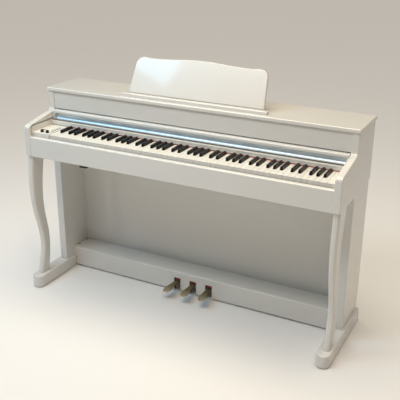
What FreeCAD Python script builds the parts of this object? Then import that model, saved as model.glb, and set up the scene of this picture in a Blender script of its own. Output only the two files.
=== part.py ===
import FreeCAD, Part
import math
import os

V = FreeCAD.Vector
os.makedirs("parts", exist_ok=True)

# Home piano with a sliding key cover, a folding music rest and three pedals.
# Millimetres. X runs along the keyboard, Z is up from the floor, and every
# depth y is counted back from the front faces of the two arms. The finished
# parts are moved together so that the origin lies under the middle.

# --- keyboard ----------------------------------------------------------------------
key_count = 88
natural_count = 52
key_pitch = 23.5
key_gap = 1.0
key_front = 24.0            # front faces of the naturals
natural_rise = 99.0         # playing surface above the underside of the arms
natural_height = 22.0
natural_head = 46.5         # from the front of a natural to the front of a sharp
key_tail = 264.0            # back end of all keys
sharp_width = 11.0
sharp_crown = 9.6           # width of the flat top
sharp_rise = 12.0           # height above the naturals
sharp_length = 75.5
sharp_side_gap = 1.0
sharp_shift = 2.5           # C and D sharps lean away from each other
sharp_shift_wide = 3.2      # and the outer two of the group of three
rod_radius = 3.0
rod_fit = 0.05
rod_inset = 14.0            # axle ahead of the key's tail and below its top

# --- case --------------------------------------------------------------------------
side_gap = 0.35             # between cheek, blocks and keys
control_width = 83.5
end_width = 13.7
board = 26.2                # arms and upper sides
inner_half = (natural_count * key_pitch + control_width + end_width + 4 * side_gap) / 2
outer_half = inner_half + board
arm_bottom = 620.0          # the whole upper case stands on this height
arm_nose_height = 130.5     # up to where the slope would meet the arm's front face
arm_slope = math.radians(9.9)
arm_nose_radius = 20.0
upper_front = 177.0         # front of the upright part of the side boards
arm_root_radius = 22.0
side_back = 377.0
side_height = 245.0
edge_round = 2.5
back_board_thickness = 16.0
back_board_step = 8.0       # starts this far above the underside of the arms
lid_thickness = 14.0
lid_overhang = 6.0
lid_back_overhang = 2.0
keybed_thickness = 18.0
rail_front = 2.0
rail_thickness = 18.0
rail_height = 85.0
rail_drop = 2.0             # below the arms
upper_panel_set = 4.0       # behind the fronts of the uprights
upper_panel_thickness = 15.0
block_front = 22.0
block_rise = 3.0            # above the naturals
strip_depth = 37.0
strip_thickness = 16.0
strip_rise = 4.5            # underside above the naturals
strip_gap = 7.0             # behind the sharps
felt_depth = 8.0
felt_gap = 1.0              # felt above the naturals

# --- key cover ---------------------------------------------------------------------
cover_side_gap = 1.1
lip_depth = 18.0
lip_height = 41.5
lip_gap = 5.0               # above the strip
lip_nose_radius = 9.0
cove_radius = 13.4
cove_depth = 8.8
cove_rise = 14.4            # middle of the cove above the underside of the lip
cove_end = 9.0              # solid end left beside the cove
trim_thickness = 1.2
cover_board = 10.0
cover_board_drop = 2.0      # lip top down to board top
pin_radius = 3.0
pin_reach = 7.0             # how far a pin stands into its groove
pin_set = 14.0              # how deep it sits in the lip
pin_back = 4.0              # behind the lip's front face
pin_rise = 4.0              # above the underside of the lip
groove_clear = 0.5
groove_depth = 8.0
groove_bend = 13.0
groove_drop = 40.0
cover_travel = 138.0
runner_width = 18.0
runner_height = 12.0
runner_gap = 0.5

# --- stand -------------------------------------------------------------------------
lower_board = 34.5
foot_width = 55.0
foot_front = -29.5
foot_behind = 8.0           # behind the side boards
foot_top = 56.0
glide_radius = 17.0
glide_height = 3.0
knee_set = 31.0             # ahead of the back edges of the sides
knee_thickness = 12.0
leg_front_round = 10.0

# --- pedal box ---------------------------------------------------------------------
box_depth = 105.0           # ahead of the knee panel
box_board = 15.0
box_top = 97.0
box_bottom = 7.0
box_shelf = 14.0
pedal_middle_x = -12.0
pedal_pitch = 78.0
pedal_splay = 8.5           # outer pedal tips lean outwards by this
slot_width = 32.0
slot_top = 67.0
pedal_reach = 99.0          # from the box to the tip
pedal_thickness = 9.0
pedal_neck = 9.5            # half width
pedal_lobe = 16.5           # half width
neck_top = 55.0             # crown of the neck where it leaves the box
felt_set = 3.0              # felt behind the front of the box
felt_clear = 1.0            # felt above the neck
pivot_behind = 59.0         # pivot behind the front of the box
pivot_z = 46.0
hub_radius = 8.0
hub_half = 11.0
pedal_pin_radius = 4.0
pedal_pin_fit = 0.04
ear_gap = 0.5
ear_thickness = 2.5

# --- music rest --------------------------------------------------------------------
rest_lean = math.radians(24.0)
rest_half = 302.0
rest_taper = 9.0            # each side is this much narrower at the shoulder
rest_shoulder = 153.0
rest_crest = 160.5
rest_thickness = 15.0
rest_corner = 36.0
ledge_set = 17.0            # behind the lid's front edge
ledge_depth = 24.0
ledge_height = 13.0
ledge_half = 326.0
rest_pivot_set = 24.0       # behind the ledge
rest_pivot_rise = 8.5
hinge_x = 200.0
hinge_width = 50.0
hinge_pin = 1.5
hinge_fit = 0.05
knuckle = 2.7

# --- controls ----------------------------------------------------------------------
knob_radius = 7.0
knob_height = 11.0
knob_y = 38.0
knob_inset = (38.0, 65.0)   # from the bass end of the block
shaft_radius = 3.0
shaft_fit = 0.05
button_inset = 70.0
button_first_y = 66.0
button_step = 16.7
button_width = 9.0
button_length = 6.0
button_rise = 1.6
button_gap = 0.35
power_inset = 28.0
power_radius = 4.0

# --- levels and depths that follow from the sizes above ----------------------------
natural_top = arm_bottom + natural_rise
natural_bottom = natural_top - natural_height
sharp_front = key_front + natural_head
sharp_back = sharp_front + sharp_length
rod_y = key_tail - rod_inset
rod_z = natural_top - rod_inset
arm_nose_top = arm_bottom + arm_nose_height
side_top = arm_bottom + side_height
back_board_bottom = arm_bottom + back_board_step
rail_bottom = arm_bottom - rail_drop
rail_top = rail_bottom + rail_height
block_top = natural_top + block_rise
strip_front = sharp_back + strip_gap
block_back = strip_front - 1.0
strip_bottom = natural_top + strip_rise
strip_top = strip_bottom + strip_thickness
lip_bottom = strip_top + lip_gap
lip_top = lip_bottom + lip_height
upper_panel_bottom = lip_top + 2.0
upper_panel_front = upper_front + upper_panel_set
lip_front = upper_panel_front - lip_depth
cove_z = lip_bottom + cove_rise
groove_z = lip_bottom + pin_rise
lower_front = upper_front + 2.0
foot_back = side_back + foot_behind
foot_middle = outer_half - 15.5
knee_front = side_back - knee_set
box_front = knee_front - box_depth
pivot_y = box_front + pivot_behind
lid_top = side_top + lid_thickness
back_face = side_back + back_board_thickness
lid_back = back_face + lid_back_overhang
middle_shift = -(foot_front + lid_back) / 2


def box(x0, x1, y0, y1, z0, z1):
    return Part.makeBox(x1 - x0, y1 - y0, z1 - z0, V(x0, y0, z0))


def rod(x0, x1, y, z, radius):
    return Part.makeCylinder(radius, x1 - x0, V(x0, y, z), V(1, 0, 0))


def post(x, y, z0, z1, radius):
    return Part.makeCylinder(radius, z1 - z0, V(x, y, z0))


def slab(outline, x0, x1):
    points = [V(x0, y, z) for y, z in outline]
    return Part.Face(Part.makePolygon(points + points[:1])).extrude(V(x1 - x0, 0, 0))


def rounded(shape, radius, wanted):
    edges = [e for e in shape.Edges if wanted(e.CenterOfMass)]
    return shape.makeFillet(radius, edges)


def mirrored(shape):
    return shape.mirror(V(0, 0, 0), V(1, 0, 0))


def near(a, b):
    return abs(a - b) < 0.01


def save(name, *solids):
    shape = solids[0] if len(solids) == 1 else Part.makeCompound(list(solids))
    shape = shape.copy()
    shape.translate(V(0, middle_shift, 0))
    shape.exportStep("parts/%s.step" % name)


# --- upper sides: an arm and an upright in one board, with the cover's groove ------
root_z = arm_nose_top + upper_front * math.tan(arm_slope)
side = slab([(0, arm_bottom), (0, arm_nose_top), (upper_front, root_z), (upper_front, side_top),
             (side_back, side_top), (side_back, arm_bottom)], inner_half, outer_half)
side = rounded(side, arm_nose_radius, lambda c: near(c.y, 0) and near(c.z, arm_nose_top))
side = rounded(side, arm_root_radius, lambda c: near(c.y, upper_front) and near(c.z, root_z))
side = rounded(side, edge_round,
               lambda c: (near(c.x, inner_half) or near(c.x, outer_half))
               and c.y < upper_front + 1 and arm_bottom < c.z < side_top)
pin_y = lip_front + pin_back
groove_half = pin_radius + groove_clear
bend_y = pin_y - cover_travel - 1.0
bend_z = groove_z - groove_bend
track_in = inner_half - 1
track_out = inner_half + groove_depth
track = box(track_in, track_out, bend_y, pin_y + 1, groove_z - groove_half, groove_z + groove_half)
track = track.fuse(rod(track_in, track_out, pin_y + 1, groove_z, groove_half))
bend = rod(track_in, track_out, bend_y, bend_z, groove_bend + groove_half)
bend = bend.cut(rod(track_in, track_out, bend_y, bend_z, groove_bend - groove_half))
track = track.fuse(bend.common(box(track_in, track_out, bend_y - 30, bend_y, bend_z, bend_z + 30)))
fall_y = bend_y - groove_bend
track = track.fuse(box(track_in, track_out, fall_y - groove_half, fall_y + groove_half,
                       groove_z - groove_drop, bend_z))
track = track.fuse(rod(track_in, track_out, fall_y, groove_z - groove_drop, groove_half))
side = side.cut(track)
save("side_right", side)
save("side_left", mirrored(side))

# --- lid ---------------------------------------------------------------------------
lid_half = outer_half + lid_overhang
lid_front = upper_front - lid_overhang
lid = box(-lid_half, lid_half, lid_front, lid_back, side_top, lid_top)
lid = rounded(lid, 6.0, lambda c: near(abs(c.x), lid_half) and near(c.z, (side_top + lid_top) / 2))
lid = rounded(lid, 4.0, lambda c: near(c.z, lid_top))
lid = rounded(lid, 2.0, lambda c: near(c.z, side_top))
save("lid", lid)

# --- upper front panel and back board ----------------------------------------------
panel = box(-inner_half, inner_half, upper_panel_front, upper_panel_front + upper_panel_thickness,
            upper_panel_bottom, side_top)
panel = rounded(panel, 2.0, lambda c: near(c.y, upper_panel_front) and near(c.z, upper_panel_bottom))
save("upper_panel", panel)

inlet_x = 60.0 - inner_half
inlet_z = back_board_bottom + 40
inlet_half_width = 11.0
inlet_half_height = 8.0
inlet_flange = 4.0
back = box(-outer_half, outer_half, side_back, back_face, back_board_bottom, side_top)
back = back.cut(box(inlet_x - inlet_half_width, inlet_x + inlet_half_width, side_back - 1, back_face + 1,
                    inlet_z - inlet_half_height, inlet_z + inlet_half_height))
save("back_board", back)

inlet_radius = 3.0
inlet_bore = 12.0
inlet = box(inlet_x - inlet_half_width, inlet_x + inlet_half_width, side_back - 6, back_face,
            inlet_z - inlet_half_height, inlet_z + inlet_half_height)
flange = box(inlet_x - inlet_half_width - inlet_flange, inlet_x + inlet_half_width + inlet_flange,
             back_face, lid_back, inlet_z - inlet_half_height - inlet_flange,
             inlet_z + inlet_half_height + inlet_flange)
inlet = inlet.fuse(flange)
inlet = inlet.cut(Part.makeCylinder(inlet_radius, inlet_bore + 1,
                                    V(inlet_x, lid_back - inlet_bore, inlet_z), V(0, 1, 0)))
save("power_inlet", inlet.removeSplitter())

# --- keybed with its two downward loudspeakers -------------------------------------
keybed_top = arm_bottom + keybed_thickness
speaker_x = inner_half - 190.3
speaker_y = side_back - 55
speaker_hole = 36.0
rail_back = rail_front + rail_thickness
keybed = box(-inner_half, inner_half, rail_back, side_back, arm_bottom, keybed_top)
speakers = []
for x in (-speaker_x, speaker_x):
    keybed = keybed.cut(post(x, speaker_y, arm_bottom - 1, keybed_top + 1, speaker_hole))
    cone = [(0, 52), (24, 52), (24, 30), (38, 3), (46, 3), (46, 0), (33, 0), (12, 19), (0, 15)]
    points = [V(x + r, speaker_y, keybed_top + h) for r, h in cone]
    half = Part.Face(Part.makePolygon(points + points[:1]))
    speakers.append(half.revolve(V(x, speaker_y, 0), V(0, 0, 1), 360))
save("keybed", keybed)
save("speakers", *speakers)

# --- front rail under the keys -----------------------------------------------------
rail = box(-inner_half, inner_half, rail_front, rail_back, rail_bottom, rail_top)
rail = rounded(rail, 5.0, lambda c: near(c.y, rail_front) and near(c.z, rail_top))
rail = rounded(rail, 1.5, lambda c: near(c.z, rail_bottom) and near(c.x, 0))
save("front_rail", rail)

# --- headphone socket box under the keybed -----------------------------------------
jack_x = 249.3 - inner_half
jack_half = 17.0
jack_back = 74.0
jack_drop = 20.0
jack_spacing = 17.0
jack_radius = 3.25
jack_depth = 14.0
jack_z = arm_bottom - jack_drop / 2
jack = box(jack_x - jack_half, jack_x + jack_half, rail_back + 3, jack_back,
           arm_bottom - jack_drop, arm_bottom)
jack = rounded(jack, 2.0, lambda c: near(c.z, arm_bottom - jack_drop))
for x in (jack_x - jack_spacing / 2, jack_x + jack_spacing / 2):
    jack = jack.cut(Part.makeCylinder(jack_radius, jack_depth + 1, V(x, rail_back + 2, jack_z),
                                      V(0, 1, 0)))
save("jack_box", jack)

# --- blocks beside the keys, the strip behind them and its felt --------------------
control_left = -inner_half + side_gap
control_right = control_left + control_width
keys_left = control_right + side_gap
keys_right = keys_left + natural_count * key_pitch
end_left = keys_right + side_gap
control = box(control_left, control_right, block_front, block_back, keybed_top, block_top)
control = rounded(control, 3.0, lambda c: near(c.y, block_front) and near(c.z, block_top))
knob_x = [control_left + inset for inset in knob_inset]
button_x = control_left + button_inset
power_x = control_left + power_inset
for x in knob_x:
    control = control.cut(post(x, knob_y, block_top - 12, block_top + 1, shaft_radius + shaft_fit))
button_y = [button_first_y + button_step * i for i in range(4)]
pocket_depth = 8.0
for y in button_y:
    half_width = button_width / 2 + button_gap
    half_length = button_length / 2 + button_gap
    control = control.cut(box(button_x - half_width, button_x + half_width, y - half_length,
                              y + half_length, block_top - pocket_depth, block_top + 1))
control = control.cut(post(power_x, button_first_y, block_top - pocket_depth, block_top + 1,
                           power_radius + button_gap))
save("control_block", control)
end = box(end_left, end_left + end_width, block_front, block_back, keybed_top, block_top)
end = rounded(end, 3.0, lambda c: near(c.y, block_front) and near(c.z, block_top))
save("end_block", end)

strip = box(-inner_half, inner_half, strip_front, strip_front + strip_depth, strip_bottom, strip_top)
strip = rounded(strip, 1.5, lambda c: near(c.y, strip_front) and near(c.z, strip_top))
save("key_strip", strip)
felt = box(keys_left, keys_right, strip_front, strip_front + felt_depth,
           natural_top + felt_gap, strip_bottom)
save("key_felt", felt)

# --- knobs and buttons -------------------------------------------------------------
for name, x in zip(("knob_volume", "knob_tone"), knob_x):
    knob = Part.makeCone(knob_radius, knob_radius - 1.0, knob_height, V(x, knob_y, block_top + 0.5))
    knob = rounded(knob, 1.0, lambda c: near(c.z, block_top + 0.5 + knob_height))
    pointer = box(x - 0.6, x + 0.6, knob_y - knob_radius, knob_y - 1.0,
                  block_top + knob_height - 0.5, block_top + knob_height + 1)
    knob = knob.cut(pointer).fuse(post(x, knob_y, block_top - 10, block_top + 0.5, shaft_radius))
    save(name, knob.removeSplitter())
for i, y in enumerate(button_y):
    button = box(button_x - button_width / 2, button_x + button_width / 2, y - button_length / 2,
                 y + button_length / 2, block_top - pocket_depth + 2, block_top + button_rise)
    save("button_%d" % (i + 1), rounded(button, 0.6, lambda c: near(c.z, block_top + button_rise)))
power = post(power_x, button_first_y, block_top - pocket_depth + 2, block_top + button_rise, power_radius)
save("button_power", rounded(power, 0.6, lambda c: near(c.z, block_top + button_rise)))

# --- keys: naturals with notched tails, sharps with raised tapered caps ------------
sharp_offset = {1: -sharp_shift, 3: sharp_shift, 6: -sharp_shift_wide, 8: 0.0, 10: sharp_shift_wide}
notch_half = sharp_width / 2 + sharp_side_gap
axle = rod(keys_left - 20, keys_right + 20, rod_y, rod_z, rod_radius + rod_fit)


def sharp_x(boundary, tone):
    return keys_left + boundary * key_pitch + sharp_offset[tone]


def natural_key(place, tone):
    left = keys_left + place * key_pitch + key_gap / 2
    right = left + key_pitch - key_gap
    tail_left = left
    tail_right = right
    if (tone - 1) % 12 in sharp_offset and place > 0:
        tail_left = sharp_x(place, (tone - 1) % 12) + notch_half
    if (tone + 1) % 12 in sharp_offset and place < natural_count - 1:
        tail_right = sharp_x(place + 1, (tone + 1) % 12) - notch_half
    step = sharp_front - sharp_side_gap
    outline = [V(left, key_front, natural_bottom), V(right, key_front, natural_bottom),
               V(right, step, natural_bottom), V(tail_right, step, natural_bottom),
               V(tail_right, key_tail, natural_bottom), V(tail_left, key_tail, natural_bottom),
               V(tail_left, step, natural_bottom), V(left, step, natural_bottom)]
    outline = [p for i, p in enumerate(outline) if (p - outline[i - 1]).Length > 0.01]
    key = Part.Face(Part.makePolygon(outline + outline[:1])).extrude(V(0, 0, natural_height))
    key = rounded(key, 1.2, lambda c: near(c.y, key_front) and near(c.z, natural_top))
    return key.cut(axle)


def sharp_key(boundary, tone):
    x = sharp_x(boundary, tone)
    deck = natural_top - 1.5
    body = box(x - sharp_width / 2, x + sharp_width / 2, sharp_front + 1.5, key_tail,
               natural_bottom, deck)
    inset = (sharp_width - sharp_crown) / 2
    cap = Part.makeWedge(0, 0, 0, 2.0, inset, sharp_width, natural_top + sharp_rise - deck,
                         sharp_length, sharp_length - 5.0, sharp_width - inset)
    cap.rotate(V(0, 0, 0), V(1, 0, 0), 90)
    cap.translate(V(x - sharp_width / 2, sharp_back, deck))
    cap = rounded(cap, 1.3, lambda c: near(c.z, natural_top + sharp_rise))
    return body.fuse(cap).cut(axle)


middle_first = 39
middle_last = 50
letters = {0: "c", 2: "d", 4: "e", 5: "f", 7: "g", 9: "a", 11: "b"}
groups = {"naturals_bass": [], "sharps_bass": [], "sharps_middle": [],
          "naturals_treble": [], "sharps_treble": []}
place = 0
for number in range(key_count):
    tone = (9 + number) % 12
    region = "bass" if number < middle_first else "middle" if number <= middle_last else "treble"
    if tone in sharp_offset:
        groups["sharps_" + region].append(sharp_key(place, tone))
        continue
    key = natural_key(place, tone)
    place += 1
    if region == "middle":
        save("key_%s4" % letters[tone], key)
    else:
        groups["naturals_" + region].append(key)
for name, keys in groups.items():
    save(name, *keys)

# --- key frame: base sheet, padded stop rail, and the axle in its two end cheeks ---
frame_thickness = 3.0
stop_rail = box(keys_left, keys_right, key_front + 34, key_front + 56,
                keybed_top + frame_thickness - 0.1, natural_bottom - 13)
frame = box(keys_left, keys_right, key_front + 22, key_tail, keybed_top, keybed_top + frame_thickness)
frame = frame.fuse(stop_rail)
frame = frame.fuse(rod(keys_left - 0.1, keys_right + 0.1, rod_y, rod_z, rod_radius))
for x in (keys_left, keys_right - 0.4):
    frame = frame.fuse(box(x, x + 0.4, rod_y - 12, rod_y + 12, keybed_top + 1, rod_z + 6))
save("key_frame", frame.removeSplitter())

# --- sliding key cover: board, lip with a cove, bright trim, two guide pins --------
cover_half = inner_half - cover_side_gap
lip_back = lip_front + lip_depth
cove_y = lip_front + cove_depth - cove_radius
lip = box(-cover_half, cover_half, lip_front, lip_back, lip_bottom, lip_top)
lip = rounded(lip, lip_nose_radius, lambda c: near(c.y, lip_front) and near(c.z, lip_top))
lip = rounded(lip, 1.0, lambda c: near(c.y, lip_front) and near(c.z, lip_bottom))
cove_half = cover_half - cove_end
outer_round = rod(-cove_half, cove_half, cove_y, cove_z, cove_radius + trim_thickness)
inner_round = rod(-cove_half, cove_half, cove_y, cove_z, cove_radius)
cove_opening = math.sqrt(cove_radius ** 2 - (lip_front - cove_y) ** 2)
trim_band = box(-cove_half, cove_half, lip_front, lip_back, cove_z - cove_opening, cove_z + cove_opening)
lip = lip.cut(inner_round).cut(outer_round.common(trim_band))
trim = outer_round.cut(inner_round).common(trim_band)
pins = [rod(cover_half - pin_set, inner_half + pin_reach, pin_y, groove_z, pin_radius)]
pins.append(mirrored(pins[0]))
for pin in pins:
    lip = lip.cut(pin)
    trim = trim.cut(pin)
board_top = lip_top - cover_board_drop
board_bottom = board_top - cover_board
save("cover_lip", lip)
save("cover_trim", trim)
save("cover_pins", *pins)
save("cover_board", box(-cover_half, cover_half, lip_back, knee_front, board_bottom, board_top))
runner = box(inner_half - runner_width, inner_half,
             upper_panel_front + upper_panel_thickness + 2, side_back - 5,
             board_bottom - runner_gap - runner_height, board_bottom - runner_gap)
save("cover_runners", runner, mirrored(runner))

# --- lower sides, knee panel, sled feet, glides ------------------------------------
lower_inner = outer_half - lower_board
lower = box(lower_inner, outer_half, lower_front, side_back, foot_top, arm_bottom)
lower = rounded(lower, edge_round,
                lambda c: near(c.y, lower_front) and foot_top < c.z < arm_bottom)
save("lower_side_right", lower)
save("lower_side_left", mirrored(lower))
save("knee_panel", box(-lower_inner, lower_inner, knee_front, knee_front + knee_thickness,
                       foot_top + 2, arm_bottom))

foot_inner = foot_middle - foot_width / 2
foot = box(foot_inner, foot_inner + foot_width, foot_front + foot_width / 2, foot_back, glide_height, foot_top)
nose = post(foot_middle, foot_front + foot_width / 2, glide_height, foot_top, foot_width / 2)
foot = foot.fuse(nose).removeSplitter()
foot = rounded(foot, 5.0, lambda c: near(c.y, foot_back) and near(c.z, (foot_top + glide_height) / 2))
foot = rounded(foot, 4.0, lambda c: near(c.z, foot_top))
foot = rounded(foot, 2.0, lambda c: near(c.z, glide_height))
save("foot_right", foot)
save("foot_left", mirrored(foot))
glides = [post(x, y, 0, glide_height, glide_radius)
          for x in (-foot_middle, foot_middle) for y in (foot_front + foot_width / 2, foot_back - 30)]
save("glides", *glides)

# --- curved front legs, each sawn from a board as thick as the arm above it --------
leg_height = arm_bottom - foot_top
leg_stations = [(foot_top + leg_height * rise, front, behind) for rise, front, behind in
                ((0, 9, 61), (0.11, 25, 71), (0.245, 38, 79), (0.344, 33, 77), (0.449, 19, 67),
                 (0.61, 0, 57), (0.787, -4, 64), (0.894, 0, 74), (1, 8, 90))]
leg_front = Part.BSplineCurve()
leg_front.interpolate([V(inner_half, f, z) for z, f, b in leg_stations])
leg_back = Part.BSplineCurve()
leg_back.interpolate([V(inner_half, b, z) for z, f, b in leg_stations])
foot_line = Part.makeLine(leg_back.StartPoint, leg_front.StartPoint)
head_line = Part.makeLine(leg_front.EndPoint, leg_back.EndPoint)
outline = Part.sortEdges([leg_front.toShape(), head_line, leg_back.toShape(), foot_line])[0]
leg = Part.Face(Part.Wire(outline)).extrude(V(board, 0, 0))
leg_middle = inner_half + board / 2
leg_split = 45.0
front_edges = [e for e in leg.Edges if e.Length > leg_height / 2 and e.CenterOfMass.y < leg_split]
leg = leg.makeFillet(leg_front_round, front_edges)
back_edges = [e for e in leg.Edges if e.Length > leg_height / 2 and e.CenterOfMass.y > leg_split
              and near(abs(e.CenterOfMass.x - leg_middle), board / 2)]
leg = leg.makeFillet(edge_round, back_edges)
save("leg_right", leg)
save("leg_left", mirrored(leg))

# --- pedal box: slotted front board, shelf, its screws and dark felts --------------
front_board = box(-lower_inner, lower_inner, box_front, box_front + box_board, box_bottom, box_top)
notch = box(foot_inner - 0.5, lower_inner + 1, box_front - 1, box_front + box_board + 1,
            box_bottom - 1, foot_top + 0.5)
front_board = front_board.cut(notch).cut(mirrored(notch))
pedal_x = [pedal_middle_x + pedal_pitch * i for i in (-1, 0, 1)]
felts = []
shelf_bottom = box_top - box_shelf
bracket_bottom = shelf_bottom - ear_thickness
for x in pedal_x:
    front_board = front_board.cut(box(x - slot_width / 2, x + slot_width / 2, box_front - 1,
                                      box_front + box_board + 1, box_bottom - 1, slot_top))
    felts.append(box(x - slot_width / 2 + 1, x + slot_width / 2 - 1, box_front + felt_set,
                     box_front + box_board, neck_top + felt_clear, slot_top))
front_board = rounded(front_board, 5.0, lambda c: near(c.y, box_front) and near(c.z, box_top))
save("pedal_box_front", front_board)
save("pedal_felts", *felts)
shelf = box(-lower_inner, lower_inner, box_front + box_board, knee_front, shelf_bottom, box_top)
save("pedal_box_shelf", shelf)
screws = []
for x in (-lower_inner + 6, lower_inner - 6):
    for y in (box_front + 34, knee_front - 12):
        head = post(x, y, box_top, box_top + 2, 4.0)
        screws.append(rounded(head, 0.8, lambda c: near(c.z, box_top + 2)))
save("shelf_screws", *screws)

# --- pedals on pins in a folded steel bracket --------------------------------------
bracket_front = box_front + box_board + 14
pedal_back = pivot_y + 38
bracket = box(pedal_x[0] - 30, pedal_x[2] + 30, bracket_front, pedal_back + 2,
              bracket_bottom, shelf_bottom)
pedal_pins = []
ear_reach = hub_half + ear_gap
for x in pedal_x:
    for left in (x - ear_reach - ear_thickness, x + ear_reach):
        ear = box(left, left + ear_thickness, pivot_y - 11, pivot_y + 11, pivot_z - 9, bracket_bottom)
        bracket = bracket.fuse(ear)
    bracket = bracket.cut(rod(x - 20, x + 20, pivot_y, pivot_z, pedal_pin_radius))
    pedal_pins.append(rod(x - ear_reach - ear_thickness - 1.5, x + ear_reach + ear_thickness + 1.5,
                          pivot_y, pivot_z, pedal_pin_radius))
save("pedal_bracket", bracket.removeSplitter())
save("pedal_pins", *pedal_pins)


def pedal(x, splay):
    # plan: a narrow neck widening into a rounded lobe whose centre line leans by splay
    stations = [(box_front - pedal_reach * part, width) for part, width in
                ((0.044, pedal_neck), (0.257, pedal_neck), (0.451, pedal_lobe * 0.773),
                 (0.646, pedal_lobe * 0.96), (0.788, pedal_lobe), (0.903, pedal_lobe * 0.853),
                 (0.969, pedal_lobe * 0.533))]
    tip = box_front - pedal_reach

    def lean(y):
        return x + splay * max(0.0, box_front - y) / (pedal_reach * 0.85)

    left = [V(lean(y) - w, y, 0) for y, w in stations]
    right = [V(lean(y) + w, y, 0) for y, w in stations]
    rim = Part.BSplineCurve()
    rim.interpolate(left + [V(lean(tip), tip, 0)] + right[::-1])
    back_right = V(x + pedal_neck, pedal_back, 0)
    back_left = V(x - pedal_neck, pedal_back, 0)
    plan = Part.Wire([rim.toShape(), Part.makeLine(right[0], back_right),
                      Part.makeLine(back_right, back_left), Part.makeLine(back_left, left[0])])
    plan = Part.Face(plan).extrude(V(0, 0, 100))
    # side: level through the box, then drooping towards the tip
    crown = [(pedal_back, neck_top - 6), (pivot_y, neck_top - 3),
             (pivot_y - 32, neck_top - 0.4), (box_front, neck_top)]
    crown += [(box_front - pedal_reach * part, neck_top - drop) for part, drop in
              ((0.257, 1.5), (0.54, 4.0), (0.805, 6.8), (1.035, 10.0))]
    upper = Part.BSplineCurve()
    upper.interpolate([V(x - 40, y, z) for y, z in crown])
    lower_curve = Part.BSplineCurve()
    lower_curve.interpolate([V(x - 40, y, z - pedal_thickness) for y, z in crown])
    flank = Part.Wire([upper.toShape(), Part.makeLine(upper.EndPoint, lower_curve.EndPoint),
                       lower_curve.toShape(), Part.makeLine(lower_curve.StartPoint, upper.StartPoint)])
    flank = Part.Face(flank).extrude(V(80, 0, 0))
    body = plan.common(flank)
    hub = rod(x - hub_half, x + hub_half, pivot_y, pivot_z, hub_radius)
    return body.fuse(hub).cut(rod(x - 20, x + 20, pivot_y, pivot_z, pedal_pin_radius + pedal_pin_fit))


for name, x, splay in zip(("pedal_left", "pedal_middle", "pedal_right"), pedal_x,
                          (-pedal_splay, 0.0, pedal_splay)):
    save(name, pedal(x, splay))

# --- music rest: ledge on the lid, leaning board on two hinges ---------------------
ledge_front = lid_front + ledge_set
rest_pivot_y = ledge_front + ledge_depth + rest_pivot_set
ledge = box(-ledge_half, ledge_half, ledge_front, ledge_front + ledge_depth, lid_top, lid_top + ledge_height)
ledge = rounded(ledge, 2.0, lambda c: near(c.y, ledge_front) and near(c.z, lid_top + ledge_height))
ledge = ledge.cut(box(-ledge_half - 1, ledge_half + 1, ledge_front + 6, ledge_front + ledge_depth - 5,
                      lid_top + ledge_height - 1.5, lid_top + ledge_height + 1))
save("rest_ledge", ledge)

rest_pivot_z = lid_top + rest_pivot_rise
heel = 4.0                  # board below the hinge line
leaf = 1.5
axis_behind = 3.0           # hinge line behind the board's back face
low_y = axis_behind + rest_thickness


def upright(shape):
    shape.rotate(V(0, 0, 0), V(1, 0, 0), -math.degrees(rest_lean))
    shape.translate(V(0, rest_pivot_y, rest_pivot_z))
    return shape


def rest_point(x, height):
    return V(x, -low_y, height - heel)


shoulder_x = rest_half - rest_taper
crest = Part.BSplineCurve()
crest.interpolate([rest_point(x, h) for x, h in
                   ((-shoulder_x + rest_corner, rest_shoulder), (-135, rest_shoulder + 0.4),
                    (-65, rest_crest - 2.2), (0, rest_crest), (65, rest_crest - 2.2),
                    (135, rest_shoulder + 0.4), (shoulder_x - rest_corner, rest_shoulder))])
turn = rest_corner * (1 - math.sqrt(0.5))
left_turn = Part.Arc(rest_point(-shoulder_x, rest_shoulder - rest_corner),
                     rest_point(-shoulder_x + turn, rest_shoulder - turn),
                     rest_point(-shoulder_x + rest_corner, rest_shoulder)).toShape()
right_turn = Part.Arc(rest_point(shoulder_x - rest_corner, rest_shoulder),
                      rest_point(shoulder_x - turn, rest_shoulder - turn),
                      rest_point(shoulder_x, rest_shoulder - rest_corner)).toShape()
edges = [left_turn, crest.toShape(), right_turn,
         Part.makeLine(rest_point(shoulder_x, rest_shoulder - rest_corner), rest_point(rest_half, 0)),
         Part.makeLine(rest_point(rest_half, 0), rest_point(-rest_half, 0)),
         Part.makeLine(rest_point(-rest_half, 0), rest_point(-shoulder_x, rest_shoulder - rest_corner))]
rest = Part.Face(Part.Wire(edges)).extrude(V(0, rest_thickness, 0))
rest = rounded(rest, 3.0, lambda c: near(c.y, -low_y) or near(c.y, -axis_behind))
save("rest_board", upright(rest))

leaves = []
bases = []
for x in (-hinge_x, hinge_x):
    half = hinge_width / 2
    plate = box(x - half, x + half, -axis_behind, -axis_behind + leaf, knuckle + 0.5, 34.0)
    barrel = rod(x - half + 10, x + half - 10, 0, 0, knuckle)
    web = box(x - half + 10, x + half - 10, -axis_behind, -axis_behind + leaf, 0, knuckle + 0.6)
    plate = plate.fuse(barrel).fuse(web).cut(rod(x - half, x + half, 0, 0, hinge_pin + hinge_fit))
    leaves.append(upright(plate.removeSplitter()))
    base = box(x - half, x + half, rest_pivot_y - 3, rest_pivot_y + 28, lid_top, lid_top + leaf)
    for start in (x - half, x + half - 9.5):
        lug = box(start, start + 9.5, rest_pivot_y - knuckle, rest_pivot_y + knuckle, lid_top, rest_pivot_z)
        base = base.fuse(lug).fuse(rod(start, start + 9.5, rest_pivot_y, rest_pivot_z, knuckle))
    base = base.fuse(rod(x - half, x + half, rest_pivot_y, rest_pivot_z, hinge_pin))
    bases.append(base.removeSplitter())
save("rest_hinge_leaves", *leaves)
save("rest_hinge_bases", *bases)
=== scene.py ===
from math import cos, pi, radians, sin

import bmesh
import bpy
from mathutils import Matrix, Vector


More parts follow.
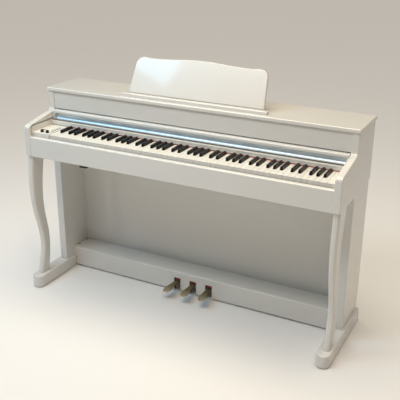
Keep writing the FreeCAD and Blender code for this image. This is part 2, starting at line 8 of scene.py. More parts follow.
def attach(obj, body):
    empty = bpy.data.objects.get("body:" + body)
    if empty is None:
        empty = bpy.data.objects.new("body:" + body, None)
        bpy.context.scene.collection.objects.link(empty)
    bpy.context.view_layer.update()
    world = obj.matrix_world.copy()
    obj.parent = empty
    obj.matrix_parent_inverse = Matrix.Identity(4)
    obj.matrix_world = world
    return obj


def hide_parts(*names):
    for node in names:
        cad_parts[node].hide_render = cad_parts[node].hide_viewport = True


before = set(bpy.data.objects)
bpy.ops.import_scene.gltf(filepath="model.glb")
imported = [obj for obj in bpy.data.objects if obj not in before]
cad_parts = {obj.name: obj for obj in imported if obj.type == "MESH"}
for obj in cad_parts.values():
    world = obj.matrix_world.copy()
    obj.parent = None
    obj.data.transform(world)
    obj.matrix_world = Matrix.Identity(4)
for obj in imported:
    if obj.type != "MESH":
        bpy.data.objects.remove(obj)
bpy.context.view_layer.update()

# ---------------------------------------------------------------- feet and glides
# Two sled feet of solid board, rounded in plan at the front, sprayed in the same gloss ivory
# polyester as the whole case. Each stands on two hard round glides let into its underside.


class Wire:
    """One output inside a finish. Sums and products on it become Math nodes."""

    def __init__(self, finish, socket):
        self.finish = finish
        self.socket = socket

    def maths(self, operation, *others):
        sockets = dict(enumerate((self,) + others))
        return self.finish.node("ShaderNodeMath", {"operation": operation}, sockets)

    def __add__(self, other):
        return self.maths("ADD", other)

    def __mul__(self, other):
        return self.maths("MULTIPLY", other)

    def __sub__(self, other):
        return self.maths("SUBTRACT", other)

    def __rsub__(self, other):
        return self * -1 + other

    def __truediv__(self, other):
        return self.maths("DIVIDE", other)

    __radd__ = __add__
    __rmul__ = __mul__

    def between(self, low, high):
        """0 below low, 1 above high, and a smooth rise in between."""
        settings = {"interpolation_type": "SMOOTHSTEP"}
        return self.finish.node("ShaderNodeMapRange", settings, {0: self, 1: low, 2: high})

    def within(self, middle, half, soft):
        """1 where the value lies within half of middle, fading to 0 over soft."""
        return 1 - (self - middle).maths("ABSOLUTE").between(half, half + soft)


class Finish:
    """One surface finish: a Principled shader and the nodes that vary it over the piece."""

    def __init__(self, name, **constants):
        self.material = bpy.data.materials.new(name)
        self.material.use_nodes = True
        self.tree = self.material.node_tree
        self.shader = self.tree.nodes["Principled BSDF"]
        for socket, value in constants.items():
            self.shader.inputs[socket.replace("_", " ")].default_value = value
        self.place = self.node("ShaderNodeTexCoord", {}, {}, "Object")
        self.x, self.y, self.z = (
            self.node("ShaderNodeSeparateXYZ", {}, {0: self.place}, axis) for axis in "XYZ"
        )

    def node(self, kind, settings, sockets, output=0):
        made = self.tree.nodes.new(kind)
        for setting, value in settings.items():
            setattr(made, setting, value)
        for socket, value in sockets.items():
            if isinstance(value, Wire):
                self.tree.links.new(value.socket, made.inputs[socket])
            else:
                made.inputs[socket].default_value = value
        return Wire(self, made.outputs[output])

    def noise(self, scale, detail=2.0, stretch=(1, 1, 1)):
        """Cloudy noise from 0 to 1; stretch squeezes the pattern along each axis."""
        spot = self.node("ShaderNodeVectorMath", {"operation": "MULTIPLY"},
                         {0: self.place, 1: stretch})
        sockets = {"Vector": spot, "Scale": scale, "Detail": detail}
        return self.node("ShaderNodeTexNoise", {}, sockets)

    def mix(self, mask, low, high):
        """The colour low where mask is 0 and high where it is 1."""
        return self.node("ShaderNodeMix", {"data_type": "RGBA"}, {0: mask, 6: low, 7: high}, 2)

    def feed(self, **sockets):
        for socket, value in sockets.items():
            self.tree.links.new(value.socket, self.shader.inputs[socket.replace("_", " ")])

    def bump(self, height, distance):
        sockets = {"Height": height, "Distance": distance, "Strength": 1.0}
        self.feed(Normal=self.node("ShaderNodeBump", {}, sockets))

    def dress(self, *nodes):
        for node in nodes:
            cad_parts[node].material_slots[0].material = self.material


def sprayed(name):
    """The ivory polyester, with its faintly cloudy tone and the roughness its polishing left."""
    paint = Finish(name, Coat_Weight=0.6, Coat_Roughness=0.06, Coat_IOR=1.5)
    colour = paint.mix(paint.noise(2.6, 3.0), (0.70, 0.68, 0.64, 1), (0.74, 0.72, 0.685, 1))
    roughness = 0.17 + 0.14 * paint.noise(9.0, 4.0, (1.0, 2.4, 2.4))
    paint.bump(paint.noise(190.0, 1.0), 0.00002)
    return paint, colour, roughness


kick_height = 0.034  # shoes scuff the paint below this
lacquer, clean, polish = sprayed("ivory_lacquer")
scuff = (1 - lacquer.z.between(0.004, kick_height)) * lacquer.noise(38.0, 4.0).between(0.48, 0.66)
lacquer.feed(Base_Color=lacquer.mix(scuff * 0.35, clean, (0.38, 0.34, 0.28, 1)),
             Roughness=polish + 0.2 * scuff)
lacquer.dress("foot_left", "foot_right")

hard_glide = Finish("hard_glide", Roughness=0.6)
hard_glide.feed(Base_Color=hard_glide.mix(hard_glide.noise(260.0, 3.0),
                                          (0.20, 0.18, 0.15, 1), (0.32, 0.30, 0.26, 1)))
hard_glide.bump(hard_glide.noise(900.0), 0.0001)
hard_glide.dress("glides")

# ---------------------------------------------------------------- lower sides, legs, knee panel
# Thick side boards and a thin knee panel close the stand at the back. The curved front legs are
# sawn from board, rounded over at the front, doweled into the feet and the arms, and lacquered.
lacquer.dress("lower_side_left", "lower_side_right", "leg_left", "leg_right", "knee_panel")

# ---------------------------------------------------------------- pedal box
# A long low box between the feet: a slotted front board and a shelf screwed down from above.
# The cheeks inside its slots are painted near black as painted shade, the slots hold dark red
# felts, and the screws are black.
lacquer.dress("pedal_box_shelf")

arm_front = -0.18275  # front faces of the arms, from which the piano's depths are counted
box_front = arm_front + 0.241
slot_middle = -0.012
slot_pitch = 0.078
slot_half = 0.016
slot_top = 0.067
hair = 0.0002  # a margin too small to see

box_paint, box_clean, box_polish = sprayed("pedal_box_paint")
place_in_row = ((box_paint.x - slot_middle) / slot_pitch + 0.5).maths("FRACT") - 0.5
off_centre = place_in_row.maths("ABSOLUTE") * slot_pitch
# painted shade: the cheeks inside the three slots are coloured near black and made rougher
slot_shade = (1 - off_centre.between(slot_half + hair, slot_half + 1.5 * hair)) * (
    box_paint.x.within(slot_middle, 1.3 * slot_pitch, hair / 2)
    * box_paint.y.between(box_front + 3 * hair, box_front + 5 * hair)
    * (1 - box_paint.z.between(slot_top + hair / 2, slot_top + 1.5 * hair)))
box_paint.feed(Base_Color=box_paint.mix(slot_shade, box_clean, (0.020, 0.016, 0.014, 1)),
               Roughness=box_polish + 0.45 * slot_shade)
box_paint.dress("pedal_box_front")

slot_felt = Finish("slot_felt", Sheen_Weight=0.6, Sheen_Roughness=0.5, Roughness=0.95)
fibres = slot_felt.noise(1500.0, 4.0)
slot_felt.feed(Base_Color=slot_felt.mix(fibres, (0.16, 0.006, 0.012, 1), (0.36, 0.022, 0.034, 1)))
slot_felt.bump(fibres, 0.0006)
slot_felt.dress("pedal_felts")


def settle(shell, name, finish, body, node):
    """Closes a piece: even shading, its finish, the body it rides on and the node it stands for."""
    bmesh.ops.recalc_face_normals(shell, faces=shell.faces)
    for face in shell.faces:
        face.smooth = True
    mesh = bpy.data.meshes.new(name)
    shell.to_mesh(mesh)
    shell.free()
    mesh.set_sharp_from_angle(angle=radians(38))
    piece = bpy.data.objects.new(name, mesh)
    bpy.context.scene.collection.objects.link(piece)
    mesh.materials.append(finish.material)
    even = piece.modifiers.new("even shading", "WEIGHTED_NORMAL")
    even.keep_sharp = True
    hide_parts(node)
    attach(piece, body)


def gather(whole, part):
    """Adds one finished shell to another."""
    carrier = bpy.data.meshes.new("carrier")
    part.to_mesh(carrier)
    part.free()
    whole.from_mesh(carrier)
    bpy.data.meshes.remove(carrier)


black_zinc = Finish("black_zinc", Metallic=0.9)
black_zinc.feed(Base_Color=black_zinc.mix(black_zinc.noise(900.0, 3.0), (0.012, 0.012, 0.014, 1),
                                          (0.05, 0.05, 0.055, 1)),
                Roughness=0.32 + 0.2 * black_zinc.noise(500.0))

screw_x = 0.646
screw_rows = (arm_front + 0.275, arm_front + 0.334)
shelf_top = 0.097
head_radius = 0.0040
head_rise = 0.0020
dome_drop = 0.0007
recess_half = 0.0017
recess_depth = 0.0009
screws = bmesh.new()
for x in (-screw_x, screw_x):
    for y in screw_rows:
        head = bmesh.new()
        bmesh.ops.create_grid(head, x_segments=3, y_segments=3, size=recess_half)
        cross = [f for f in head.faces
                 if min(abs(f.calc_center_median().x), abs(f.calc_center_median().y)) < hair]
        border = [e for e in head.edges if e.is_boundary]
        rim = bmesh.ops.create_circle(head, segments=12, radius=head_radius,
                                      matrix=Matrix.Rotation(pi / 4, 4, "Z"))["verts"]
        bmesh.ops.translate(head, verts=rim, vec=(0, 0, -dome_drop))
        ring = [e for e in head.edges if e.verts[0] in rim and e.verts[1] in rim]
        bmesh.ops.bridge_loops(head, edges=border + ring)
        sunk = bmesh.ops.extrude_face_region(head, geom=cross)["geom"]
        bmesh.ops.delete(head, geom=cross, context="FACES_ONLY")
        bmesh.ops.translate(head, verts=[v for v in sunk if isinstance(v, bmesh.types.BMVert)],
                            vec=(0, 0, -recess_depth))
        skirt = bmesh.ops.extrude_edge_only(head, edges=ring)["geom"]
        foot = [v for v in skirt if isinstance(v, bmesh.types.BMVert)]
        bmesh.ops.translate(head, verts=foot, vec=(0, 0, dome_drop - head_rise))
        bmesh.ops.holes_fill(head, edges=[e for e in head.edges if e.is_boundary])
        bmesh.ops.translate(head, verts=head.verts, vec=(x, y, shelf_top + head_rise))
        gather(screws, head)
settle(screws, "shelf_screw_heads", black_zinc, "cabinet", "shelf_screws")

# ---------------------------------------------------------------- pedals
# Three cast brass pedals, narrow at the neck and widening to a rounded lobe, polished on top
# and left duller beneath. They hang on steel pins in a folded black bracket under the shelf.
brass = Finish("pedal_brass", Metallic=1.0)
handled = brass.noise(60.0, 4.0)
under_shoe = 1 - brass.y.between(arm_front + 0.148, arm_front + 0.200)
rubbed = under_shoe * brass.z.between(0.036, 0.045)
tarnish = brass.mix(handled, (0.17, 0.125, 0.065, 1), (0.36, 0.285, 0.165, 1))
brass.feed(Base_Color=brass.mix(rubbed * 0.8, tarnish, (0.74, 0.67, 0.50, 1)),
           Roughness=0.42 - 0.18 * rubbed + 0.12 * handled)
brass.bump(brass.noise(420.0, 3.0, (1.0, 0.12, 1.0)), 0.00005)

pedal_slices = (  # depth behind the arm fronts, half width, crown height, thickness
    (0.3380, 0.0095, 0.0490, 0.0090), (0.3360, 0.0095, 0.0491, 0.0090),
    (0.3000, 0.0095, 0.0520, 0.0090), (0.2680, 0.0095, 0.0546, 0.0090),
    (0.2410, 0.0095, 0.0550, 0.0090), (0.2232, 0.0094, 0.0541, 0.0090),
    (0.2093, 0.0102, 0.0530, 0.0090), (0.1965, 0.0127, 0.0519, 0.0090),
    (0.1846, 0.0150, 0.0507, 0.0090), (0.1747, 0.0161, 0.0497, 0.0090),
    (0.1628, 0.0165, 0.0484, 0.0089), (0.1549, 0.0154, 0.0474, 0.0086),
    (0.1489, 0.0129, 0.0466, 0.0080), (0.1450, 0.0094, 0.0460, 0.0068),
    (0.1430, 0.0058, 0.0456, 0.0048), (0.1422, 0.0022, 0.0453, 0.0026))
pedal_pivot = (arm_front + 0.300, 0.046)
pedal_neck_end = 0.241  # the lean of an outer pedal starts here
pedal_lean_length = 0.084
outline_steps = 24
hub_radius = 0.0079
hub_length = 0.022


def pedal(name, x, splay):
    shell = bmesh.new()
    points = bmesh.ops.create_circle(shell, segments=outline_steps, radius=1.0)["verts"]
    turns = [2 * pi * (i + 0.5) / outline_steps for i in range(outline_steps)]
    section = [(abs(cos(a)) ** 0.45 * (1 if cos(a) > 0 else -1),
                abs(sin(a)) ** 0.45 * (1 if sin(a) > 0 else -1)) for a in turns]
    first = list(points)
    edges = list(shell.edges)
    for step, (depth, half, crown, thick) in enumerate(pedal_slices):
        if step:
            grown = bmesh.ops.extrude_edge_only(shell, edges=edges)["geom"]
            points = [v for v in grown if isinstance(v, bmesh.types.BMVert)]
            edges = [e for e in grown if isinstance(e, bmesh.types.BMEdge)
                     and e.verts[0] in points and e.verts[1] in points]
        middle = x + splay * max(0.0, pedal_neck_end - depth) / pedal_lean_length
        for point, (side, up) in zip(points, section):
            point.co = (middle + side * half, arm_front + depth, crown + (up - 1) * thick / 2)
    shell.faces.new(first)
    shell.faces.new(points)
    hub = bmesh.new()
    turn = Matrix.Rotation(pi / 2, 4, "Y")
    bmesh.ops.create_cone(hub, cap_ends=True, segments=40, radius1=hub_radius,
                          radius2=hub_radius, depth=hub_length, matrix=turn)
    bmesh.ops.bevel(hub, geom=[e for e in hub.edges if len(e.link_faces[0].verts) > 4
                               or len(e.link_faces[1].verts) > 4],
                    offset=0.0006, segments=2, profile=0.5, affect="EDGES", material=-1)
    bmesh.ops.translate(hub, verts=hub.verts, vec=(x, pedal_pivot[0], pedal_pivot[1]))
    gather(shell, hub)
    settle(shell, name + "_casting", brass, name, name)


pedal_splay = 0.0085
pedal("pedal_left", slot_middle - slot_pitch, -pedal_splay)
pedal("pedal_middle", slot_middle, 0.0)
pedal("pedal_right", slot_middle + slot_pitch, pedal_splay)

plain_steel = Finish("plain_steel", Metallic=1.0)
drawn = plain_steel.noise(700.0, 3.0, (0.05, 1.0, 1.0))
plain_steel.feed(Base_Color=plain_steel.mix(drawn, (0.42, 0.42, 0.43, 1), (0.60, 0.60, 0.61, 1)),
                 Roughness=0.28 + 0.16 * drawn)
plain_steel.dress("pedal_pins")
black_zinc.dress("pedal_bracket")

# ---------------------------------------------------------------- keybed, rail and sockets
# The keybed is a lacquered board between the arms, with two loudspeakers facing the floor and a
# rail glued along its front. A small moulded box under it holds the headphone sockets.
lacquer.dress("keybed", "front_rail")

speaker_x = 0.470
speaker_y = arm_front + 0.322
cone_paper = Finish("cone_paper", Roughness=0.85)
away = cone_paper.x.maths("ABSOLUTE") - speaker_x
radius = (away * away + (cone_paper.y - speaker_y) * (cone_paper.y - speaker_y)).maths("SQRT")
ribs = (radius * 2400.0).maths("SINE") * 0.5 + 0.5
cone_paper.feed(Base_Color=cone_paper.mix(cone_paper.noise(600.0, 4.0), (0.012, 0.012, 0.013, 1),
                                          (0.04, 0.038, 0.036, 1)))
cone_paper.bump(ribs * 0.5 + cone_paper.noise(900.0, 3.0), 0.0003)
cone_paper.dress("speakers")

moulding = Finish("black_moulding", Specular_IOR_Level=0.4)
moulding.feed(Base_Color=moulding.mix(moulding.noise(40.0), (0.014, 0.014, 0.016, 1),
                                      (0.028, 0.028, 0.031, 1)),
              Roughness=0.42 + 0.12 * moulding.noise(70.0, 3.0))
moulding.bump(moulding.noise(1800.0, 2.0), 0.00006)
moulding.dress("jack_box")

# ---------------------------------------------------------------- keys
# Each natural is a long white lever with a thin polished top that overhangs its front, notched
# beside the sharps. Each sharp carries a tapered black cap. All swing on one axle at the back.
pitch = 0.0235
keys_left = -0.57610
key_gap = 0.0010
last_place = 51  # places of the naturals count from 0 at the bass end
natural_top = 0.719
natural_bottom = 0.697
plate_bottom = 0.7162  # underside of the polished top
plate_overhang = 0.0012
natural_front = arm_front + 0.0240
sharp_front = arm_front + 0.0705
sharp_length = 0.0755
sharp_half = 0.0055
sharp_height = 0.012
sharp_seat = 0.0015  # the cap reaches down this far between the naturals
sharp_slope = 0.0046  # the cap's front leans back by this
crown_half = 0.0048
stem_setback = 0.0015
key_tail = arm_front + 0.264
plate_end = key_tail - 0.06
sharp_shift = {1: -0.0025, 3: 0.0025, 6: -0.0032, 8: 0.0, 10: 0.0032}

ivory = Finish("key_ivory", Coat_Weight=0.35, Coat_Roughness=0.08)
order = ((ivory.x - keys_left) / pitch).maths("FLOOR")
lot = ivory.node("ShaderNodeTexWhiteNoise", {"noise_dimensions": "1D"}, {"W": order})
played = ivory.y.within(natural_front + 0.025, 0.012, 0.03) * ivory.noise(45.0, 3.0)
plate_shade = ivory.mix(lot, (0.735, 0.715, 0.655, 1), (0.775, 0.76, 0.71, 1))
# painted shade: everything below the polished top takes one flat colour near the darker end of the
# tops' tones, for the shade under the overhang
under_plate_shade = 1 - ivory.z.between(0.7155, 0.7168)
tone_with_under_shade = ivory.mix(under_plate_shade, plate_shade, (0.74, 0.725, 0.68, 1))
ivory.feed(Base_Color=ivory.mix(played * 0.12, tone_with_under_shade, (0.66, 0.60, 0.48, 1)),
           Roughness=0.20 + 0.16 * ivory.noise(120.0, 3.0) + 0.1 * played)
ivory.bump(ivory.noise(700.0, 2.0), 0.00002)


def board_of(outline, bottom, top):
    """An upright solid on a plan outline."""
    shell = bmesh.new()
    face = shell.faces.new([shell.verts.new((x, y, bottom)) for x, y in outline])
    raised = bmesh.ops.extrude_face_region(shell, geom=[face])["geom"]
    bmesh.ops.translate(shell, verts=[v for v in raised if isinstance(v, bmesh.types.BMVert)],
                        vec=(0, 0, top - bottom))
    return shell


def sharp_middle(place, tone):
    return keys_left + place * pitch + sharp_shift[tone]


def natural(place, tone):
    left = keys_left + place * pitch + key_gap / 2
    right = left + pitch - key_gap
    tail_left, tail_right = left, right
    beside = sharp_half + key_gap
    if (tone - 1) % 12 in sharp_shift and place > 0:
        tail_left = sharp_middle(place, (tone - 1) % 12) + beside
    if (tone + 1) % 12 in sharp_shift and place < last_place:
        tail_right = sharp_middle(place + 1, (tone + 1) % 12) - beside
    step = sharp_front - key_gap

    def plan(front, back):
        around = [(left, front), (right, front), (right, step), (tail_right, step),
                  (tail_right, back), (tail_left, back), (tail_left, step), (left, step)]
        return [p for i, p in enumerate(around) if abs(p[0] - around[i - 1][0])
                + abs(p[1] - around[i - 1][1]) > 1e-6]

    lever = board_of(plan(natural_front + plate_overhang, key_tail), natural_bottom, plate_bottom)
    plate = board_of(plan(natural_front, plate_end), plate_bottom, natural_top)
    corners = [e for e in plate.edges if abs(e.verts[0].co.z - e.verts[1].co.z) > 0.001
               and e.verts[0].co.y < natural_front + 0.0001]
    bmesh.ops.bevel(plate, geom=corners, offset=0.0014, segments=4, profile=0.5, affect="EDGES",
                    material=-1)
    crown = [e for e in plate.edges if min(v.co.z for v in e.verts) > natural_top - 1e-5]
    bmesh.ops.bevel(plate, geom=crown, offset=0.0009, segments=3, profile=0.5, affect="EDGES",
                    material=-1)
    gather(lever, plate)
    return lever


ebony = Finish("key_black", Specular_IOR_Level=0.22)
pores = ebony.noise(800.0, 3.0, (1.0, 0.06, 1.0))
ebony.feed(Base_Color=ebony.mix(pores, (0.004, 0.004, 0.005, 1), (0.009, 0.009, 0.010, 1)),
           Roughness=0.27 + 0.10 * pores + 0.06 * ebony.noise(60.0))
ebony.bump(pores, 0.00004)


def sharp(place, tone):
    x = sharp_middle(place, tone)
    shell = bmesh.new()
    height = sharp_height + sharp_seat
    centre = (x, sharp_front + sharp_length / 2, natural_top + sharp_height - height / 2)
    block = Matrix.Diagonal((2 * sharp_half, sharp_length, height, 1))
    bmesh.ops.create_cube(shell, size=1.0, matrix=Matrix.Translation(centre) @ block)
    for v in shell.verts:
        if v.co.z > natural_top:
            v.co.x = x + (crown_half if v.co.x > x else -crown_half)
            if v.co.y < centre[1]:
                v.co.y += sharp_slope
            v.co.y = min(v.co.y, sharp_front + sharp_length - 0.001)
    ridge = [e for e in shell.edges if max(v.co.z for v in e.verts) > natural_top + 0.01]
    bmesh.ops.bevel(shell, geom=ridge, offset=0.0016, segments=4, profile=0.5, affect="EDGES",
                    material=-1)
    left, right = x - sharp_half, x + sharp_half
    front = sharp_front + stem_setback
    stem = board_of([(left, front), (right, front), (right, key_tail), (left, key_tail)],
                    natural_bottom, natural_top - sharp_seat)
    gather(shell, stem)
    return shell


letters = {0: "c", 2: "d", 4: "e", 5: "f", 7: "g", 9: "a", 11: "b"}
keys = {}
place = 0
for number in range(88):
    tone = (9 + number) % 12
    region = "bass" if number < 39 else "middle" if number < 51 else "treble"
    if tone in sharp_shift:
        gather(keys.setdefault("sharps_" + region, bmesh.new()), sharp(place, tone))
        continue
    name = "key_%s4" % letters[tone] if region == "middle" else "naturals_" + region
    gather(keys.setdefault(name, bmesh.new()), natural(place, tone))
    place += 1
for name, shell in keys.items():
    piece_name = name + ("_lever" if "4" in name else "_tops")
    if name.startswith("sharps"):
        settle(shell, piece_name, ebony, name, name)
    else:
        settle(shell, piece_name, ivory, name, name)

# ---------------------------------------------------------------- key frame
# A pressed steel sheet screwed to the keybed carries the padded stop rail and the axle that all
# the keys turn on. Zinc plating gives it a dull grey spangle.
zinc = Finish("zinc_sheet", Metallic=0.85)
spangle = zinc.noise(90.0, 2.0)
zinc.feed(Base_Color=zinc.mix(spangle, (0.30, 0.31, 0.32, 1), (0.45, 0.46, 0.47, 1)),
          Roughness=0.38 + 0.18 * spangle)
zinc.dress("key_frame")

# ---------------------------------------------------------------- control block, knobs, buttons
# A moulded block at the bass end, painted to match the case, with two turned knobs and five
# buttons. Small grey marks are printed beside them. A plain block fills the treble end.
block_left = -0.65995
knob_places = {"knob_volume": block_left + 0.038, "knob_tone": block_left + 0.065}
knob_y = arm_front + 0.038
knob_flutes = 24
knob_steps = 3 * knob_flutes
flute_depth = 0.045  # share of the radius
button_x = block_left + 0.070
first_button_y = arm_front + 0.066
button_step = 0.0167
block_top = 0.722

painted = Finish("painted_moulding", Coat_Weight=0.3, Coat_Roughness=0.12)
base = painted.mix(painted.noise(5.0), (0.72, 0.695, 0.64, 1), (0.76, 0.74, 0.69, 1))
on_top = painted.z.between(block_top - 0.0004, block_top - 0.0001)
marks = painted.x * 0
for knob_x in knob_places.values():
    across, along = painted.x - knob_x, painted.y - knob_y
    reach = (across * across + along * along).maths("SQRT")
    angle = across.maths("ARCTAN2", along)
    ticks = (angle * (11 / (2 * pi) * 360 / 280)).maths("FRACT").within(0.5, 0.06, 0.03)
    front_gap = angle.maths("ABSOLUTE").between(2.45, 2.50)
    marks = marks + reach.within(0.0094, 0.0006, 0.0002) * ticks * (1 - front_gap)
row = ((painted.y - first_button_y) / button_step + 0.5).maths("FRACT")
rows = painted.y.within(first_button_y + 1.5 * button_step, 2.0 * button_step, 0.0001)
dash = row.within(0.5, 0.045, 0.01) * painted.x.within(button_x - 0.0115, 0.0040, 0.0002)
dot = row.within(0.5, 0.050, 0.02) * painted.x.within(button_x + 0.0085, 0.0008, 0.0003)
marks = (marks + (dash + dot) * rows) * on_top
painted.feed(Base_Color=painted.mix(marks.between(0.1, 0.7), base, (0.03, 0.03, 0.032, 1)),
             Roughness=0.24 + 0.14 * painted.noise(80.0, 3.0))
painted.bump(painted.noise(240.0, 2.0), 0.00004)
painted.dress("control_block", "end_block")

soft_black = Finish("knob_black", Specular_IOR_Level=0.45)
dust = soft_black.noise(300.0, 4.0).between(0.55, 0.8)
line = soft_black.z.between(block_top + 0.0105, block_top + 0.0109) * (
    1 - soft_black.y.between(knob_y - 0.0012, knob_y - 0.0010))
pointer = line * (soft_black.x.within(knob_places["knob_volume"], 0.0005, 0.0002)
                  + soft_black.x.within(knob_places["knob_tone"], 0.0005, 0.0002))
body_black = soft_black.mix(dust * 0.4, (0.013, 0.013, 0.015, 1), (0.06, 0.06, 0.06, 1))
soft_black.feed(Base_Color=soft_black.mix(pointer, body_black, (0.75, 0.75, 0.73, 1)),
                Roughness=0.36 + 0.2 * dust)

for name, knob_x in knob_places.items():
    knob = bmesh.new()
    profile = [(0.0, 0.0005), (0.0028, 0.0005), (0.0066, 0.0005), (0.0070, 0.0010),
               (0.0068, 0.0040), (0.0064, 0.0095), (0.0061, 0.0109), (0.0054, 0.0115),
               (0.0046, 0.0115), (0.0042, 0.0111), (0.0, 0.0110)]
    path = [knob.verts.new((r, 0, z)) for r, z in profile]
    edges = [knob.edges.new(pair) for pair in zip(path, path[1:])]
    bmesh.ops.spin(knob, geom=path + edges, axis=(0, 0, 1), cent=(0, 0, 0), angle=2 * pi,
                   steps=knob_steps, use_merge=True)
    bmesh.ops.remove_doubles(knob, verts=knob.verts, dist=1e-6)
    for v in knob.verts:
        if 0.0011 < v.co.z < 0.0106 and Vector(v.co.xy).length > 0.0055:
            angle_step = round(Vector((1, 0)).angle_signed(v.co.xy) / (2 * pi) * knob_steps)
            if angle_step % 3 == 0:
                v.co.x *= 1 - flute_depth
                v.co.y *= 1 - flute_depth
    shaft = bmesh.new()
    bmesh.ops.create_cone(shaft, cap_ends=True, segments=32, radius1=0.003, radius2=0.003,
                          depth=0.0104, matrix=Matrix.Translation((0, 0, -0.0047)))
    gather(knob, shaft)
    bmesh.ops.translate(knob, verts=knob.verts, vec=(knob_x, knob_y, block_top))
    settle(knob, name + "_turned", soft_black, name, name)

button_grey = Finish("button_grey", Specular_IOR_Level=0.4)
button_grey.feed(Base_Color=button_grey.mix(button_grey.noise(250.0, 2.0), (0.010, 0.010, 0.011, 1),
                                            (0.018, 0.018, 0.020, 1)),
                 Roughness=0.44 + 0.12 * button_grey.noise(500.0, 2.0))
button_grey.bump(button_grey.noise(2600.0, 2.0), 0.00005)


def press_button(name, shell, x, y):
    """Rounds the top of a button, dishes it for the fingertip and sets it in its pocket."""
    crown = [e for e in shell.edges if min(v.co.z for v in e.verts) > 0.0015]
    bmesh.ops.bevel(shell, geom=crown, offset=0.0007, segments=3, profile=0.5, affect="EDGES",
                    material=-1)
    top = [f for f in shell.faces if f.normal.z > 0.9 and f.calc_center_median().z > 0.0015]
    bmesh.ops.inset_region(shell, faces=top, thickness=0.0010, depth=-0.0002)
    bmesh.ops.translate(shell, verts=shell.verts, vec=(x, y, block_top))
    settle(shell, name + "_cap", button_grey, name, name)


cap_outline = [(-0.0045, -0.003), (0.0045, -0.003), (0.0045, 0.003), (-0.0045, 0.003)]
for i in range(4):
    cap = board_of(cap_outline, -0.006, 0.0016)
    upright = [e for e in cap.edges if abs(e.verts[0].co.z - e.verts[1].co.z) > 0.001]
    bmesh.ops.bevel(cap, geom=upright, offset=0.0008, segments=3, profile=0.5, affect="EDGES",
                    material=-1)
    press_button("button_%d" % (i + 1), cap, button_x, first_button_y + button_step * i)
power = bmesh.new()
bmesh.ops.create_cone(power, cap_ends=True, segments=40, radius1=0.004, radius2=0.004,
                      depth=0.0076, matrix=Matrix.Translation((0, 0, -0.0022)))
press_button("button_power", power, block_left + 0.028, first_button_y)

# ---------------------------------------------------------------- strip and felt behind the keys
# A narrow lacquered strip crosses above the backs of the keys, and a red wool felt is glued
# under its front edge, so that the sharps come out from under a soft red line.
painted.dress("key_strip")

red_felt = Finish("red_felt", Sheen_Weight=0.7, Sheen_Roughness=0.4, Roughness=0.95)
wool = red_felt.noise(1300.0, 4.0)
patch = red_felt.noise(60.0, 3.0)
red = red_felt.mix(wool, (0.34, 0.040, 0.030, 1), (0.60, 0.11, 0.085, 1))
red_felt.feed(Base_Color=red_felt.mix(patch * 0.3, red, (0.30, 0.02, 0.015, 1)))
red_felt.bump(wool, 0.0007)
red_felt.dress("key_felt")

# ---------------------------------------------------------------- sides, back board, inlet
# Each upper side is one board with the arm, rounded at the nose and grooved inside for the key
# cover's guide pins. The back board closes the case and holds the low-voltage inlet.
lacquer.dress("side_left", "side_right", "back_board")
moulding.dress("power_inlet")

# ---------------------------------------------------------------- sliding key cover
# A thin board slides out of the case behind a thick lip. The lip's front is coved, lined with a
# strip of polished aluminium, and steel guide pins at its ends run in the grooves of the sides.
lacquer.dress("cover_board", "cover_lip")
plain_steel.dress("cover_pins")

trim = Finish("polished_trim", Metallic=1.0)
buffed = trim.noise(6.0, 3.0, (1.0, 4.0, 4.0))
# painted reflection: the aluminium is tinted blue-grey for the cool window light it reflects; the
# buffed noise only varies that tint
trim.feed(Base_Color=trim.mix(buffed, (0.58, 0.66, 0.73, 1), (0.64, 0.72, 0.79, 1)),
          Roughness=0.43 + 0.06 * buffed)
trim.dress("cover_trim")

pine = Finish("waxed_pine", Coat_Weight=0.2, Coat_Roughness=0.3)
grain = pine.noise(26.0, 4.0, (7.0, 0.35, 7.0))
rings = (grain * 34.0).maths("SINE") * 0.5 + 0.5
pine.feed(Base_Color=pine.mix(rings, (0.50, 0.30, 0.13, 1), (0.68, 0.47, 0.25, 1)),
          Roughness=0.45 + 0.15 * rings)
pine.bump(rings, 0.0001)
pine.dress("cover_runners")

# ---------------------------------------------------------------- upper panel and lid
# A lacquered panel stands between the uprights, and the lid is glued over it and the sides with
# a small overhang. Its upper edges are rounded over and its corners eased.
lacquer.dress("upper_panel", "lid")

# ---------------------------------------------------------------- music rest
# A leaning board with a softly humped top stands on two steel hinges behind a grooved ledge,
# and folds down backwards onto the lid. Both pieces are lacquered like the case.
lacquer.dress("rest_ledge", "rest_board")
plain_steel.dress("rest_hinge_leaves", "rest_hinge_bases")

# ---------------------------------------------------------------- floor, lights and camera
# A plain pale floor, a soft even surround, two cool windows high at the front left, and warmer
# light from the ceiling and from a lamp in front.
floor = bmesh.new()
bmesh.ops.create_grid(floor, x_segments=1, y_segments=1, size=14.0)
floor_mesh = bpy.data.meshes.new("floor")
floor.to_mesh(floor_mesh)
floor.free()
ground = bpy.data.objects.new("floor", floor_mesh)
bpy.context.scene.collection.objects.link(ground)
pale = Finish("pale_floor", Roughness=0.85, Specular_IOR_Level=0.15)
pale.feed(Base_Color=pale.mix(pale.noise(0.7), (0.78, 0.765, 0.745, 1), (0.80, 0.785, 0.765, 1)))
floor_mesh.materials.append(pale.material)

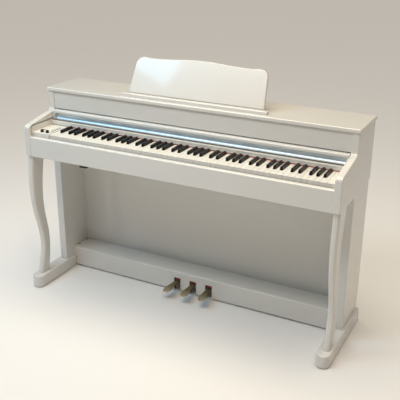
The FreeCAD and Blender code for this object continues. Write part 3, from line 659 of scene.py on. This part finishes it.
scene = bpy.context.scene
scene.view_settings.view_transform = "Standard"
surround = bpy.data.worlds.new("surround")
surround.use_nodes = True
surround.node_tree.nodes["Background"].inputs["Color"].default_value = (1.0, 0.95, 0.86, 1)
surround.node_tree.nodes["Background"].inputs["Strength"].default_value = 0.07
scene.world = surround


def area_light(name, place, target, size, power, colour):
    data = bpy.data.lights.new(name, "AREA")
    data.shape = "RECTANGLE"
    data.size, data.size_y = size
    aim(name, data, place, target, power, colour)


def sky_light(name, place, target, spread, power, colour):
    data = bpy.data.lights.new(name, "SUN")
    data.angle = radians(spread)
    aim(name, data, place, target, power, colour)


def aim(name, data, place, target, power, colour):
    data.energy = power
    data.color = colour
    lamp = bpy.data.objects.new(name, data)
    lamp.location = place
    lamp.rotation_euler = (Vector(target) - Vector(place)).to_track_quat("-Z", "Y").to_euler()
    scene.collection.objects.link(lamp)


sky_light("sky", (0.0, 0.0, 3.2), (0.0, 0.0, 0.0), 60, 1.9, (1.0, 0.93, 0.84))
area_light("ceiling", (0.2, 0.2, 2.6), (0.2, 0.2, 0.0), (1.8, 0.8), 15.0, (1.0, 0.86, 0.56))
area_light("window", (-0.75, -1.35, 2.5), (-0.5, 0.0, 0.7), (0.9, 0.7), 12.0, (0.84, 0.95, 1.0))
area_light("far_window", (-1.7, -1.35, 2.5), (-0.2, 0.0, 0.7), (1.2, 0.7), 19.0, (0.38, 0.71, 1.0))
area_light("lamp", (0.3, -1.2, 2.5), (0.3, 0.0, 0.75), (1.0, 0.6), 13.5, (1.0, 0.82, 0.64))

lens = bpy.data.cameras.new("camera")
lens.lens = 64.44
lens.sensor_width = 36.0
camera = bpy.data.objects.new("camera", lens)
scene.collection.objects.link(camera)
scene.camera = camera
yaw, pitch_down, roll = radians(27.18), radians(21.97), radians(0.35)
forward = Vector((-sin(yaw) * cos(pitch_down), cos(yaw) * cos(pitch_down), -sin(pitch_down)))
level = Vector((cos(yaw), sin(yaw), 0))
right = level * cos(roll) + level.cross(forward) * sin(roll)
above = right.cross(forward)
facing = Matrix((right, above, -forward)).transposed().to_4x4()
camera.matrix_world = Matrix.Translation((1.2943, -2.41995, 1.5869)) @ facing
